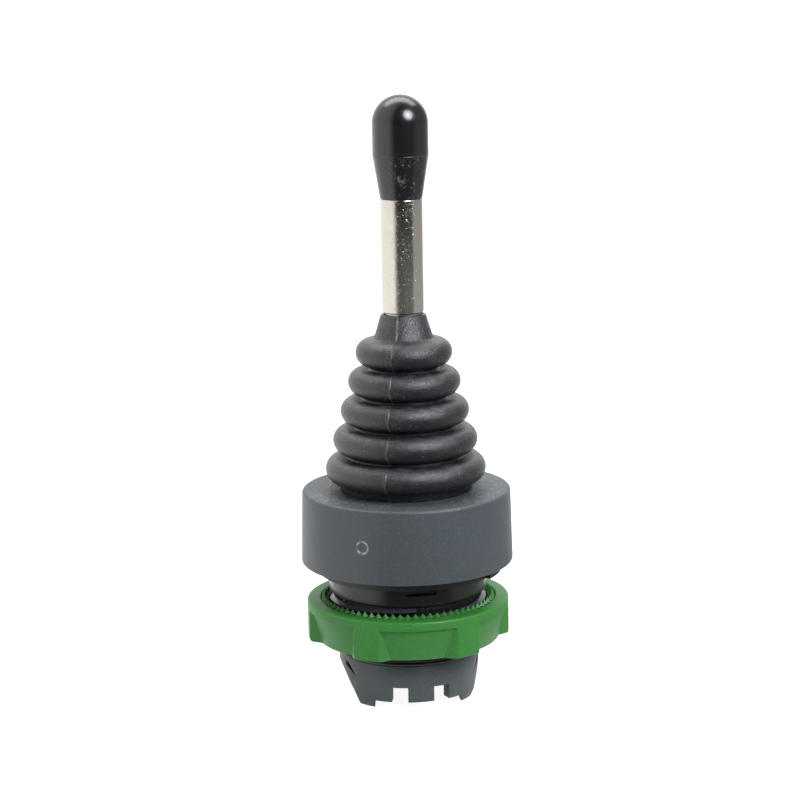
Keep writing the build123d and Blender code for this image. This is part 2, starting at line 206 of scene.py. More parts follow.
# %% Cutting helpers
def apply_modifier(piece, kind, **settings):
    pick(piece)
    modifier = piece.modifiers.new(kind.title(), kind)
    for name, value in settings.items():
        setattr(modifier, name, value)
    bpy.ops.object.modifier_apply(modifier=modifier.name)


def cut(piece, cutter):
    apply_modifier(piece, "BOOLEAN", operation="DIFFERENCE", object=cutter, solver="EXACT")
    bpy.data.objects.remove(cutter)


def round_edges(piece, width, segments=2, angle=40):
    apply_modifier(
        piece,
        "BEVEL",
        width=width,
        segments=segments,
        limit_method="ANGLE",
        angle_limit=radians(angle),
    )
    smooth(piece)


def settle(piece):
    """Move the object's place and turn into its mesh."""
    pick(piece)
    bpy.ops.object.transform_apply(location=True, rotation=True, scale=True)
    return piece


# %% [markdown]
# ## Writing shaders as sums
#
# A finish is easiest to read as arithmetic: noise times a strength, added to a roughness. A small
# class wraps a socket so that Python's operators add the Math nodes, and one method adds any
# other node with its settings and inputs.


# %% Shader helpers
class Value:
    """A node's output, which Python's operators turn into Math nodes."""

    def __init__(self, graph, socket):
        self.graph = graph
        self.socket = socket

    def math(self, operation, first, second=0.0):
        return self.graph.node("ShaderNodeMath", {"operation": operation}, {0: first, 1: second})

    def __add__(self, other):
        return self.math("ADD", self, other)

    __radd__ = __add__

    def __sub__(self, other):
        return self.math("SUBTRACT", self, other)

    def __rsub__(self, other):
        return self.math("SUBTRACT", other, self)

    def __mul__(self, other):
        return self.math("MULTIPLY", self, other)

    __rmul__ = __mul__

    def __lt__(self, other):
        return self.math("LESS_THAN", self, other)

    def __abs__(self):
        return self.math("ABSOLUTE", self)

    def larger(self, other):
        return self.math("MAXIMUM", self, other)


class Graph:
    """The nodes of a material or of the world."""

    def __init__(self, tree):
        self.tree = tree

    def put(self, socket, value):
        if isinstance(value, Value):
            self.tree.links.new(value.socket, socket)
        else:
            socket.default_value = value

    def node(self, kind, settings, inputs, output=0):
        """Add a node: its settings first, then the values or links of its sockets."""
        made = self.tree.nodes.new(kind)
        for name, value in settings.items():
            setattr(made, name, value)
        for name, value in inputs.items():
            self.put(made.inputs[name], value)
        return Value(self, made.outputs[output])

    def vector_math(self, operation, first, second):
        """A number from two vectors, of which the second is fixed."""
        inputs = {0: first, 1: tuple(second)}
        return self.node("ShaderNodeVectorMath", {"operation": operation}, inputs, "Value")

    def ramp(self, value, start, end):
        """0 at start, 1 at end and smooth between them."""
        inputs = {"Value": value, "From Min": start, "From Max": end}
        return self.node("ShaderNodeMapRange", {"interpolation_type": "SMOOTHSTEP"}, inputs)


worn_side = toward(left_of_front(-8))


class Finish(Graph):
    """A material whose Principled shader is filled in by the functions below."""

    def __init__(self, name, colour, roughness, metallic=0.0, **plain):
        self.material = bpy.data.materials.new(name)
        self.material.use_nodes = True
        super().__init__(self.material.node_tree)
        self.shader = self.tree.nodes["Principled BSDF"]
        self.place = self.node("ShaderNodeTexCoord", {}, {}, "Object")
        self.set("Base Color", (*colour, 1))
        self.set("Roughness", roughness)
        self.set("Metallic", metallic)
        for socket, value in plain.items():
            self.set(socket.replace("_", " "), value)
        self.material.diffuse_color = (*colour, 1)

    def set(self, name, value):
        self.put(self.shader.inputs[name], value)

    def height(self):
        return self.node("ShaderNodeSeparateXYZ", {}, {"Vector": self.place}, "Z")

    def distance(self, point):
        """How far a point of the surface lies from a given point."""
        return self.vector_math("DISTANCE", self.place, point)

    def along(self, direction):
        """How far a point of the surface lies along a direction from the origin."""
        return self.vector_math("DOT_PRODUCT", self.place, direction)

    def noise(self, size, detail=2.0, stretch=(1, 1, 1)):
        """Noise from 0 to 1 whose blotches are about size across, in metres."""
        scaled = self.node(
            "ShaderNodeMapping", {}, {"Vector": self.place, "Scale": [s / size for s in stretch]}
        )
        inputs = {"Vector": scaled, "Scale": 1.0, "Detail": detail, "Roughness": 0.55}
        return self.node("ShaderNodeTexNoise", {}, inputs)

    def scratches(self, size, width, stretch=(1, 1, 1)):
        """Fine wandering lines: 1 on the contours of a noise, 0 elsewhere."""
        return self.ramp(abs(self.noise(size, 3.0, stretch) - 0.5), width, 0.0)

    def handled(self, radius):
        """1 on the side of a barrel of this radius that hands and tools touch most."""
        return self.ramp(self.along(worn_side), radius * 0.45, radius * 0.85)

    def specks(self, spacing, share, radius=0.22):
        """Round specks: 1 in a share of the cells of the given spacing, 0 elsewhere."""
        scaled = self.node(
            "ShaderNodeMapping", {}, {"Vector": self.place, "Scale": [1 / spacing] * 3}
        )
        inputs = {"Vector": scaled, "Scale": 1.0}
        distance = self.node("ShaderNodeTexVoronoi", {}, inputs, "Distance")
        choice = self.node("ShaderNodeTexVoronoi", {}, inputs, "Color")
        chosen = self.node("ShaderNodeSeparateColor", {}, {"Color": choice}, "Red")
        return (distance < radius) * (chosen < share)

    def mix(self, factor, first, second):
        """A colour between two colours, or values that hold colours."""
        ends = [(*c, 1) if isinstance(c, tuple) else c for c in (first, second)]
        inputs = {0: factor, 6: ends[0], 7: ends[1]}
        return self.node("ShaderNodeMix", {"data_type": "RGBA"}, inputs, 2)

    def bump(self, height, depth):
        """A normal that follows height times depth, in metres."""
        inputs = {"Height": height, "Distance": depth, "Strength": 1.0}
        return self.node("ShaderNodeBump", {}, inputs)


def shade(red, green, blue):
    """A colour as it looks on a screen, 0 to 255, turned into the linear values of a shader."""
    return tuple(((level / 255 + 0.055) / 1.055) ** 2.4 for level in (red, green, blue))


def times(colour, factor):
    """A lighter or darker version of a colour."""
    return tuple(min(level * factor, 1.0) for level in colour)


def dress(piece, finish):
    """Give a piece one finish."""
    piece.data.materials.clear()
    piece.data.materials.append(finish.material)


# %% [markdown]
# ## Moulded plastics
#
# The bezel and the base are moulded in slate grey with a fine spark texture from the mould, which
# breaks up the highlight into small grains. Large, faint clouds keep the colour from looking
# flat, and a few light specks are lint. The same recipe, with other numbers, gives the nut's
# satin green and the collar's glossy brown-black.


# %% Plastic finishes
def moulded(name, colour, roughness, grain, depth, cloud=0.12, lint=0.0):
    """Moulded plastic: clouds in the colour, grain in the gloss and the bump, lint on top."""
    finish = Finish(name, colour, roughness)
    clouds = finish.noise(6 * mm, 3.0)
    fine = finish.noise(grain, 2.0)
    base = finish.mix(clouds, times(colour, 1 - cloud), times(colour, 1 + cloud / 2))
    base = finish.mix(finish.ramp(fine, 0.5, 0.7) * 0.6, base, times(colour, 1.4))
    if lint:
        speck = finish.specks(0.6 * mm, lint, 0.16)
        base = finish.mix(speck * 0.6, base, shade(196, 200, 204))
    finish.set("Base Color", base)
    smudge = finish.noise(2.5 * mm, 4.0)
    finish.set("Roughness", roughness + (fine - 0.5) * 0.2 + (smudge - 0.5) * 0.1)
    finish.set("Normal", finish.bump(fine, depth))
    return finish


slate = shade(63, 69, 73)
base_slate = shade(62, 69, 71)
green = shade(51, 117, 48)
brown_black = shade(26, 24, 26)
# The thread ridges belong to the brown-black collar. Their lighter plum is partly their own tone and
# partly painted light, which lifts them out of the shade inside the nut.
plum_painted_light = shade(56, 55, 66)
ivory = shade(205, 198, 180)
chalk = shade(225, 224, 218)
ash = shade(110, 112, 114)
gloss_grain = 0.5 * mm
gloss_depth = 0.005 * mm
inner_grain = 0.2 * mm

base_finish = moulded(
    "slate_satin_plastic", base_slate, 0.42, grain=0.26 * mm, depth=0.035 * mm, lint=0.02
)
nut_finish = moulded(
    "green_satin_plastic", green, 0.42, grain=0.25 * mm, depth=0.006 * mm, cloud=0.08
)
nut_finish.set("Specular IOR Level", 0.3)
collar_finish = moulded(
    "dark_gloss_plastic", brown_black, 0.2, grain=gloss_grain, depth=gloss_depth, lint=0.01
)
thread_painted_light = moulded("plum_painted_light_plastic", plum_painted_light, 0.2, grain=gloss_grain, depth=gloss_depth)
guide_finish = moulded("ivory_plastic", ivory, 0.5, inner_grain, depth=0.004 * mm)
plunger_finish = moulded("white_slippery_plastic", chalk, 0.35, inner_grain, depth=0.003 * mm)
clamp_finish = moulded("grey_plastic", ash, 0.5, inner_grain, depth=0.005 * mm)
print("plastic finishes", len(bpy.data.materials))

# %% [markdown]
# ## The bezel's finish
#
# The bezel has the same plastic, with three things of its own. Lint from handling has gathered on
# its top, round the boot's foot. The top is also a little duller than the side. And round the gate
# mark the plastic was torn when the sprue broke off, which left a pale, broken ring.

# %% Bezel finish
gate_azimuth = left_of_front(34)
gate_height = bezel_low + 5.1 * mm
gate_radius = 0.8 * mm
tear_radius = 0.82 * mm
gate_centre = toward(gate_azimuth) * bezel_radius + Vector((0, 0, gate_height))


def bezel_plastic():
    finish = Finish("slate_spark_plastic", slate, 0.4, Specular_IOR_Level=0.45)
    fine = finish.noise(0.2 * mm, 3.0)
    clouds = finish.noise(7 * mm, 3.0)
    base = finish.mix(clouds, times(slate, 0.88), times(slate, 1.1))
    base = finish.mix(finish.ramp(fine, 0.46, 0.7) * 0.5, base, times(slate, 1.6))
    on_top = finish.ramp(finish.height(), bezel_high - 0.35 * mm, bezel_high - 0.15 * mm)
    near_foot = finish.ramp(finish.distance((0, 0, bezel_high)), bezel_radius, boot_flange_radius)
    lint = finish.specks(0.36 * mm, 0.35, 0.25) * on_top * (0.15 + near_foot * 0.85)
    base = finish.mix(lint * 0.8, base, shade(190, 194, 198))
    tear = finish.ramp(abs(finish.distance(gate_centre) - tear_radius), 0.2 * mm, 0.05 * mm)
    torn = finish.ramp(finish.noise(0.8 * mm, 3.0), 0.36, 0.56)
    base = finish.mix(tear * torn * 0.6, base, shade(176, 180, 184))
    finish.set("Base Color", base)
    finish.set("Roughness", 0.4 + on_top * 0.06 + (fine - 0.5) * 0.3)
    finish.set("Normal", finish.bump(fine + tear * torn * 0.6, 0.045 * mm))
    return finish


bezel_finish = bezel_plastic()
print("gate mark at", [round(value / mm, 2) for value in gate_centre], "mm")

# %% [markdown]
# ## Glossy cap
#
# The cap is polished black plastic. Below its crease it has been handled and knocked: hairline
# scratches wander over the cone, some lint clings to it, and there is one pale smudge in front.

# %% Cap finish
cone_length = 5.8 * mm
crease = sleeve_high + cone_length
smudge_reach = knob_radius - 0.45 * mm
smudge_height = crease - 3.1 * mm
smudge_place = toward(left_of_front(12)) * smudge_reach + Vector((0, 0, smudge_height))


def polished_cap():
    colour = shade(17, 18, 20)
    finish = Finish("black_gloss_plastic", colour, 0.16, Specular_IOR_Level=0.7)
    cone = finish.ramp(finish.height(), crease + 0.05 * mm, crease - 0.15 * mm)
    patch = finish.ramp(finish.noise(0.9 * mm, 3.0), 0.45, 0.65)
    hairlines = finish.scratches(0.7 * mm, 0.012, (1, 1, 0.7)) * patch * cone
    near = finish.ramp(finish.distance(smudge_place), 1.0 * mm, 0.3 * mm)
    smudge = near * finish.ramp(finish.noise(0.35 * mm, 4.0), 0.42, 0.62)
    lint = finish.specks(0.42 * mm, 0.06, 0.22) * cone * finish.handled(knob_radius)
    stray = finish.specks(0.7 * mm, 0.01, 0.15)
    marks = hairlines.larger(smudge * 0.8)
    base = finish.mix(marks * 0.3, colour, shade(160, 164, 168))
    base = finish.mix(lint.larger(stray) * 0.4, base, shade(150, 152, 155))
    finish.set("Base Color", base)
    wave = finish.noise(3 * mm, 2.0)
    finish.set("Roughness", 0.18 + wave * 0.07 + marks * 0.25)
    finish.set("Normal", finish.bump(marks + wave * 0.8, 0.005 * mm))
    return finish


cap_finish = polished_cap()
print("cap's crease at", round(crease / mm, 2), "mm")

# %% [markdown]
# ## Rubber
#
# The boot and the seal are rubber: nearly black and finely grained, so that their highlights break
# up into specks. A thin film of dust lies where the folds face up. The boot's mould closed in a
# plane through the axis, and along that line a paler colour is painted, a painted highlight on the
# flash.

# %% Rubber finishes
seam_azimuth = left_of_front(24.5)
seam_along = toward(seam_azimuth)
seam_across = Vector((-seam_along.y, seam_along.x, 0))


def rubber(name, colour, roughness, grain, depth, dust, painted_seam_highlight=False):
    finish = Finish(name, colour, roughness)
    fine = finish.noise(grain, 3.0)
    coarse = finish.noise(grain * 2.6, 2.0)
    clouds = finish.noise(3 * mm, 3.0)
    base = finish.mix(clouds, times(colour, 0.75), times(colour, 1.1))
    base = finish.mix(finish.ramp(fine, 0.5, 0.64) * 0.8, base, times(colour, 2.4))
    up = finish.node("ShaderNodeNewGeometry", {}, {}, "Normal")
    facing = finish.node("ShaderNodeSeparateXYZ", {}, {"Vector": up}, "Z")
    film = finish.ramp(facing, 0.1, 0.9) * finish.ramp(finish.noise(1.1 * mm, 4.0), 0.4, 0.75)
    base = finish.mix(film * 0.12 * dust, base, shade(120, 122, 124))
    speck = finish.specks(0.36 * mm, 0.06 * dust, 0.2)
    base = finish.mix(speck * 0.35, base, shade(190, 192, 194))
    # Along the mould line the colour is painted paler and broken up by noise: a painted highlight on
    # the flash's ridge.
    if painted_seam_highlight:
        line = finish.ramp(abs(finish.along(seam_across)), 0.11 * mm, 0.03 * mm)
        seam_highlight_mask = line * (0.12 + finish.ramp(finish.noise(0.9 * mm, 3.0), 0.42, 0.65) * 0.88)
        base = finish.mix(seam_highlight_mask * 0.26, base, shade(150, 152, 154))
    finish.set("Base Color", base)
    finish.set("Roughness", roughness + (fine - 0.5) * 0.4)
    finish.set("Normal", finish.bump(fine + coarse * 0.8, depth))
    return finish


boot_black = shade(23, 25, 28)
seal_black = shade(26, 26, 28)
boot_finish = rubber(
    "boot_rubber", boot_black, 0.32, grain=0.14 * mm, depth=0.07 * mm, dust=1.6, painted_seam_highlight=True
)
boot_finish.set("Specular IOR Level", 0.7)
seal_finish = rubber("seal_rubber", seal_black, 0.5, grain=0.2 * mm, depth=0.01 * mm, dust=0.4)
print("mould line at", round(degrees(seam_azimuth), 1), "degrees")

# %% [markdown]
# ## Metals
#
# The sleeve is nickel plated and has been handled: on one side its grain is rubbed, with tiny pits,
# and hairline scratches catch the light. The inner pieces are turned steel, brass and a zinc
# casting, which need only a direction or a grain in their gloss.


# %% Metal finishes
def metal(name, colour, roughness, stretch, depth):
    """Metal with clouds in its colour and marks in its gloss, which stretch draws out."""
    finish = Finish(name, colour, roughness, 1.0)
    marks = finish.noise(0.25 * mm, 4.0, stretch)
    clouds = finish.noise(2.5 * mm, 3.0)
    finish.set("Base Color", finish.mix(clouds * 0.6, colour, times(colour, 0.82)))
    finish.set("Roughness", roughness + (marks - 0.5) * 0.22 + (clouds - 0.5) * 0.12)
    finish.set("Normal", finish.bump(marks, depth))
    return finish


def worn_nickel():
    """Nickel plate that has been handled, with grain, pits and hairline scratches."""
    colour = shade(208, 203, 193)
    finish = Finish("nickel_plate", colour, 0.14, 1.0)
    grain = finish.noise(0.24 * mm, 3.0, (1, 1, 0.8))
    patches = finish.ramp(finish.noise(1.3 * mm, 4.0, (1, 1, 0.5)), 0.36, 0.56)
    rub = patches * finish.handled(sleeve_radius)
    mottle = finish.ramp(finish.noise(0.26 * mm, 4.0, (1, 1, 0.6)), 0.4, 0.66) * rub
    pits = finish.specks(0.34 * mm, 0.3, 0.27)
    hairlines = finish.scratches(1.1 * mm, 0.01)
    hairlines = hairlines * finish.ramp(finish.noise(1.6 * mm, 2.0), 0.5, 0.62)
    clouds = finish.noise(2.5 * mm, 3.0)
    base = finish.mix(clouds, times(colour, 0.94), times(colour, 1.04))
    dull = (pits * 0.4 + mottle * 0.25) * rub
    finish.set("Base Color", finish.mix(dull, base, times(colour, 0.6)))
    marks = (pits * rub).larger(hairlines)
    finish.set("Roughness", 0.1 + mottle * 0.24 + (grain - 0.5) * 0.06 + marks * 0.26)
    height = grain * (0.15 + rub * 0.85) + marks * 0.5
    finish.set("Normal", finish.bump(height, 0.014 * mm))
    return finish


turned = (0.3, 0.3, 2.5)
even = (1, 1, 1)
nickel_finish = worn_nickel()
steel_finish = metal("turned_steel", shade(186, 186, 188), 0.3, turned, depth=0.002 * mm)
spring_finish = metal("spring_wire", shade(176, 178, 182), 0.28, even, depth=0.001 * mm)
brass_finish = metal("turned_brass", shade(206, 172, 104), 0.3, turned, depth=0.002 * mm)
zinc_finish = metal("cast_zinc", shade(150, 151, 154), 0.45, even, depth=0.006 * mm)
print("finishes", len(bpy.data.materials))

# %% [markdown]
# ## The cap
#
# The cap is a dome on a straight barrel with a fine raised ring where it starts to taper to the
# sleeve. A turned outline gives all of it. Its mouth is a little narrower than the sleeve, so that
# the sleeve's rounded rim shows as a bright line under it.

# %% Cap
dome_rise = 0.1 * mm
dome_low = knob_high - knob_radius + dome_rise
bead_radius = 0.09 * mm
bead_inset = 0.05 * mm
socket = 2.67 * mm
mouth_curl = [(0.02, 0.3), (-0.03, 0.1), (-0.07, 0.0)]
cap_outline = (
    arc((0, dome_low), knob_radius, 90, 0, 32)[1:]
    + arc((knob_radius - bead_inset, crease), bead_radius, 55, -70, 6)
    + [(sleeve_radius + out * mm, sleeve_high + up * mm) for out, up in mouth_curl]
    + [(socket, sleeve_high), (socket, crease), (0.0, crease), (0.0, knob_high)]
)
cap = lathe("lever_cap", cap_outline, 128)
dress(cap, cap_finish)
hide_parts("grip_knob")
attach(cap, "lever")
print("cap", len(cap.data.polygons), "faces")

# %% [markdown]
# ## The sleeve
#
# A plated tube with rounded ends, the round at its foot slightly larger than the one at its head.

# %% Sleeve
bore = 2.03 * mm
foot_round = 0.28 * mm
head_round = foot_round * 0.6
sleeve_outline = (
    arc((sleeve_radius - foot_round, sleeve_low + foot_round), foot_round, -90, 0, 6)
    + arc((sleeve_radius - head_round, sleeve_high - head_round), head_round, 0, 90, 5)
    + [(bore, sleeve_high), (bore, sleeve_low)]
)
sleeve = lathe("lever_sleeve_plated", sleeve_outline, 128)
dress(sleeve, nickel_finish)
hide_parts("lever_sleeve")
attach(sleeve, "lever")
print("sleeve", round((sleeve_high - sleeve_low) / mm, 2), "mm long")

# %% [markdown]
# ## The bellows boot
#
# The boot is one moulding, but the lever tilts about two crossed axes, and a soft piece can bend
# between two bodies only. So it is modelled in two halves that meet deep in a groove; here both
# are only shaped, and no bending is set up. In section each fold is an arc, and each groove is a
# small arc the other way that touches both folds, so that the skin is smooth from end to end.

# %% Boot outline
fold_count = 5
fold_radii = [6.63 * mm, 11.05 * mm]
fold_heights = [boot_high - 5.2 * mm, bezel_high + 2.9 * mm]
fold_gap = 0.5 * mm
groove_round = 0.3 * mm
boot_wall = 0.8 * mm
cone_foot = boot_high - 3.0 * mm
cone_radius = 4.05 * mm
boot_top_radius = 3.13 * mm
boot_neck_radius = 8.95 * mm

fold_spread = fold_radii[1] - fold_radii[0]
fold_drop = fold_heights[0] - fold_heights[1]
fold_step = hypot(fold_spread, fold_drop) / (fold_count - 1)
fold_round = (fold_step - fold_gap) / 2
fold_slope = degrees(atan2(fold_drop, fold_spread))
touch_reach = fold_round + groove_round
touch_turn = degrees(acos(fold_step / 2 / touch_reach))
groove_inset = sqrt(touch_reach**2 - (fold_step / 2) ** 2)
fold_top = 180 - fold_slope + touch_turn
fold_bottom = -fold_slope - touch_turn
fold_steps = 20
groove_steps = 10
print("fold radius", round(fold_round / mm, 3), "mm from", round(fold_top), "degrees")


def fold_place(index):
    """The crest's radius and height of a fold, counted from the top."""
    share = index / (fold_count - 1)
    return fold_radii[0] + share * fold_spread, fold_heights[0] - share * fold_drop


def fold_arc(index, inset, start=fold_top, end=fold_bottom):
    """The outside of a fold, or the inside when inset by the wall."""
    crest, height = fold_place(index)
    return arc((crest - fold_round, height), fold_round - inset, start, end, fold_steps)


def groove_arc(index, inset, start=0.0, end=1.0):
    """The groove under a fold, or a share of it from its upper end to its lower one."""
    crest, height = fold_place(index + 0.5)
    slope = radians(fold_slope)
    centre = (crest - fold_round - groove_inset * sin(slope), height - groove_inset * cos(slope))
    first = 180 + fold_bottom
    sweep = 180 + 2 * touch_turn
    steps = round(groove_steps * (end - start))
    return arc(centre, groove_round + inset, first + sweep * start, first + sweep * end, steps)


# %% [markdown]
# ## Two halves of the boot
#
# Each outline runs down the outside of some folds and back up the inside. The bottom of the groove
# where they meet belongs to both halves.


# %% Boot halves
def skin(first, last, inset):
    """Down over the folds from first to last, without the grooves at either end."""
    line = []
    for index in range(first, last + 1):
        line += fold_arc(index, inset)
        if index < last:
            line += groove_arc(index, inset)
    return line


meeting = 2
last_fold = fold_count - 1
grip_radius = 2.65 * mm
top_edge = 0.1 * mm
cone_bend = [(-0.12, 0.25), (0.12, -0.13)]
cone_end_angle = 84
neck_start_angle = -96
inner_cone_foot = cone_foot - 0.4 * mm
ceiling = bezel_high - bezel_wall
neck_top = fold_place(last_fold)[1] - fold_round
neck_inside = boot_neck_radius - boot_wall
above_meeting = groove_arc(meeting, 0, 0, 0.5)
below_meeting = groove_arc(meeting, 0, 0.5, 1)
upper_outline = (
    [(grip_radius, boot_high), (boot_top_radius - top_edge, boot_high)]
    + [(boot_top_radius, boot_high - top_edge)]
    + [(cone_radius + out * mm, cone_foot + up * mm) for out, up in cone_bend]
    + fold_arc(0, 0, start=cone_end_angle)
    + groove_arc(0, 0)
    + skin(1, meeting, 0)
    + above_meeting
    + groove_arc(meeting, boot_wall, 0, 0.5)[::-1]
    + skin(0, meeting, boot_wall)[::-1]
    + [(grip_radius, inner_cone_foot)]
)
lower_outline = (
    below_meeting
    + skin(meeting + 1, last_fold - 1, 0)
    + groove_arc(last_fold - 1, 0)
    + fold_arc(last_fold, 0, end=neck_start_angle)
    + [(boot_neck_radius, neck_top - 0.1 * mm), (boot_neck_radius, ceiling)]
    + [(boot_flange_radius, ceiling), (boot_flange_radius, boot_flange_low)]
    + [(neck_inside, boot_flange_low), (neck_inside, neck_top)]
    + skin(meeting + 1, last_fold, boot_wall)[::-1]
    + groove_arc(meeting, boot_wall, 0.5, 1)[::-1]
)
upper_boot = lathe("boot_upper", upper_outline, 144, seam_azimuth)
lower_boot = lathe("boot_lower", lower_outline, 144, seam_azimuth)
print("outlines of", len(upper_outline), "and", len(lower_outline), "points")

# %% [markdown]
# ## The mould line
#
# The mould closed in a plane through the axis, and left a thin raised line up both sides. Two
# bisecting cuts beside that plane give the line its width, and the vertices in the plane are then
# pushed out along their normals.


# %% Mould line
def raise_mould_line(piece, width, height):
    pick(piece)
    switch_to("EDIT")
    for side in (-1, 1):
        bpy.ops.mesh.select_all(action="SELECT")
        bpy.ops.mesh.bisect(plane_co=seam_across * width * side / 2, plane_no=seam_across)
    bpy.ops.mesh.select_all(action="DESELECT")
    switch_to("OBJECT")
    in_plane = width / 20
    for vertex in piece.data.vertices:
        outside = vertex.normal.dot(Vector((vertex.co.x, vertex.co.y, 0))) > 0
        vertex.select = outside and abs(vertex.co.dot(seam_across)) < in_plane
    for kind in (piece.data.edges, piece.data.polygons):
        kind.foreach_set("select", [False] * len(kind))
    switch_to("EDIT")
    bpy.ops.mesh.select_mode(type="VERT")
    bpy.ops.transform.shrink_fatten(value=height)
    switch_to("OBJECT")
    smooth(piece, 50)


for half in (upper_boot, lower_boot):
    raise_mould_line(half, width=0.22 * mm, height=0.09 * mm)
    dress(half, boot_finish)
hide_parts("bellows_boot")
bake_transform(lower_boot)
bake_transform(upper_boot)
print("boot", len(upper_boot.data.polygons) + len(lower_boot.data.polygons), "faces")

# %% [markdown]
# ## The bezel
#
# The bezel is a drafted cup with soft edges. The mould's gate left a small round dimple on its
# side, low on the left, which is cut with a little turned plug whose rim flares. Two extra rings
# of the wall, above and below the dimple, keep the faces round it small.

# %% Bezel
opening = boot_neck_radius + 0.03 * mm
opening_edge = 0.12 * mm
bezel_bore = bezel_radius - bezel_wall
draft = 0.25 * mm
edge = 0.4 * mm
top_radius = bezel_radius - draft
ring_above = gate_height + 1.1 * mm
ring_below = gate_height - 1.1 * mm
gate_profile = [(0.0, -0.14), (0.55, -0.14), (0.75, -0.11), (1.0, 0.03), (1.0, 1.0), (0.0, 1.0)]


def wall_at(height):
    """The drafted wall's outer radius at a height."""
    return bezel_radius - draft * (height - bezel_low) / (bezel_high - bezel_low)


bezel_outline = (
    arc((opening + opening_edge, bezel_high - opening_edge), opening_edge, 180, 90, 3)
    + arc((top_radius - edge, bezel_high - edge), edge, 90, 0, 7)
    + [(wall_at(ring_above), ring_above), (wall_at(ring_below), ring_below)]
    + arc((bezel_radius - edge, bezel_low + edge), edge, 0, -90, 7)
    + [(bezel_bore, bezel_low), (bezel_bore, ceiling), (opening, ceiling)]
)
bezel = lathe("bezel_cup", bezel_outline, 224)
gate = lathe("gate_mark", [(gate_radius * out, up * mm) for out, up in gate_profile], 32)
gate.matrix_world = (
    Matrix.Rotation(gate_azimuth, 4, "Z")
    @ Matrix.Translation((wall_at(gate_height), 0, gate_height))
    @ Matrix.Rotation(radians(90), 4, "Y")
)
cut(bezel, settle(gate))
smooth(bezel)
dress(bezel, bezel_finish)
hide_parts("bezel_ring")
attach(bezel, "housing")
print("bezel", len(bezel.data.polygons), "faces")

# %% [markdown]
# ## The collar
#
# The collar is plain and glossy under the seal, with a small slot in front, and threaded further
# down. The whole section is turned first, inner shoulder and snap groove included, with the thread
# at the depth of its root.

# %% Collar
collar_radius = 10.9 * mm
collar_bore = 9.0 * mm
plain_low = -2.55 * mm
plain_chamfer = 0.35 * mm
thread_root = 10.3 * mm
ring_high = collar_low + 0.4 * mm
ring_radius = 10.0 * mm
relief_radius = ring_radius - 0.4 * mm
relief_high = ring_high + 0.2 * mm
flange_high = bezel_low + 1.8 * mm
seat_radius = 11.3 * mm
flange_radius = bezel_bore - 0.05 * mm
rim_radius = 10.6 * mm
rim_high = high("collar_body")
shoulder_high = -6.6 * mm
shoulder_low = -7.4 * mm
shoulder_radius = 8.0 * mm
snap_high = collar_low + 1.3 * mm
snap_low = collar_low + 0.5 * mm
snap_depth = 0.3 * mm
collar_edge = 0.12 * mm
slot_half_angle = radians(11)
slot_floor = 10.2 * mm
slot_low = -1.1 * mm
slot_high = -0.35 * mm
collar_outline = (
    arc((ring_radius - collar_edge, collar_low + collar_edge), collar_edge, -90, 0, 3)
    + arc((ring_radius - collar_edge, ring_high - collar_edge), collar_edge, 0, 90, 3)
    + [(relief_radius, ring_high), (relief_radius, relief_high)]
    + [(thread_root, relief_high), (thread_root, plain_low - plain_chamfer)]
    + arc((collar_radius - collar_edge, plain_low + collar_edge), collar_edge, -60, 0, 3)
    + [(collar_radius, panel), (seat_radius, panel), (seat_radius, bezel_low)]
    + [(flange_radius, bezel_low), (flange_radius, flange_high)]
    + [(rim_radius, flange_high), (rim_radius, rim_high), (collar_bore, rim_high)]
    + [(collar_bore, shoulder_high), (shoulder_radius, shoulder_high)]
    + [(shoulder_radius, shoulder_low), (collar_bore, shoulder_low)]
    + [(collar_bore, snap_high), (collar_bore + snap_depth, snap_high - snap_depth)]
    + [(collar_bore + snap_depth, snap_low), (collar_bore, snap_low), (collar_bore, collar_low)]
)
collar = lathe("collar", collar_outline, 192)


def slot_cutter():
    """A block that cuts a shallow slot in front of the collar."""
    deselect()
    middle = (slot_low + slot_high) / 2
    bpy.ops.mesh.primitive_cube_add(size=1, location=(0, -collar_radius, middle))
    block = bpy.context.object
    width = 2 * collar_radius * sin(slot_half_angle)
    depth = 2 * (collar_radius - slot_floor)
    bpy.ops.transform.resize(value=(width, depth, slot_high - slot_low))
    return settle(block)


cut(collar, slot_cutter())
smooth(collar)
dress(collar, collar_finish)
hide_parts("collar_body")
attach(collar, "housing")
print("collar", len(collar.data.polygons), "faces")

# %% [markdown]
# ## The thread
#
# The thread has two starts. One ridge is drawn as a small blunt triangle, wound with a Screw
# modifier and closed at both ends. The second is turned by half a circle.

# %% Thread ridges
thread_crest = 10.87 * mm
thread_foot = thread_root - 0.15 * mm
thread_high = plain_low - 0.2 * mm
thread_low = ring_high + 0.3 * mm
starts = 2
first_start = 0.9
thread_lead = 2.6 * mm
thread_steps = 96
ridge_half = 0.5 * mm
crest_half = 0.1 * mm


def close_ends(piece):
    """Fill the open ends of a wound piece and turn its faces outward."""
    switch_to("EDIT")
    bpy.ops.mesh.select_all(action="SELECT")
    bpy.ops.mesh.fill_holes(sides=0)
    face_outward()
    switch_to("OBJECT")


def wind(piece, turns, rise, steps_per_turn):
    """Wind a section about Z with a Screw modifier and close its ends."""
    steps = int(steps_per_turn * turns)
    apply_modifier(
        piece, "SCREW", angle=2 * pi * turns, screw_offset=rise, steps=steps, render_steps=steps
    )
    close_ends(piece)


def wound_ridge(name, turn):
    """One thread ridge: a blunt triangle wound about the collar."""
    middle = thread_low + ridge_half
    section = [
        (thread_foot, 0, middle - ridge_half),
        (thread_crest, 0, middle - crest_half),
        (thread_crest, 0, middle + crest_half),
        (thread_foot, 0, middle + ridge_half),
    ]
    ridge = draw(name, section + section[:1])
    switch_to("OBJECT")
    rise = thread_high - thread_low - 2 * ridge_half
    wind(ridge, rise / thread_lead, rise, thread_steps)
    ridge.rotation_euler.z = turn
    return settle(ridge)


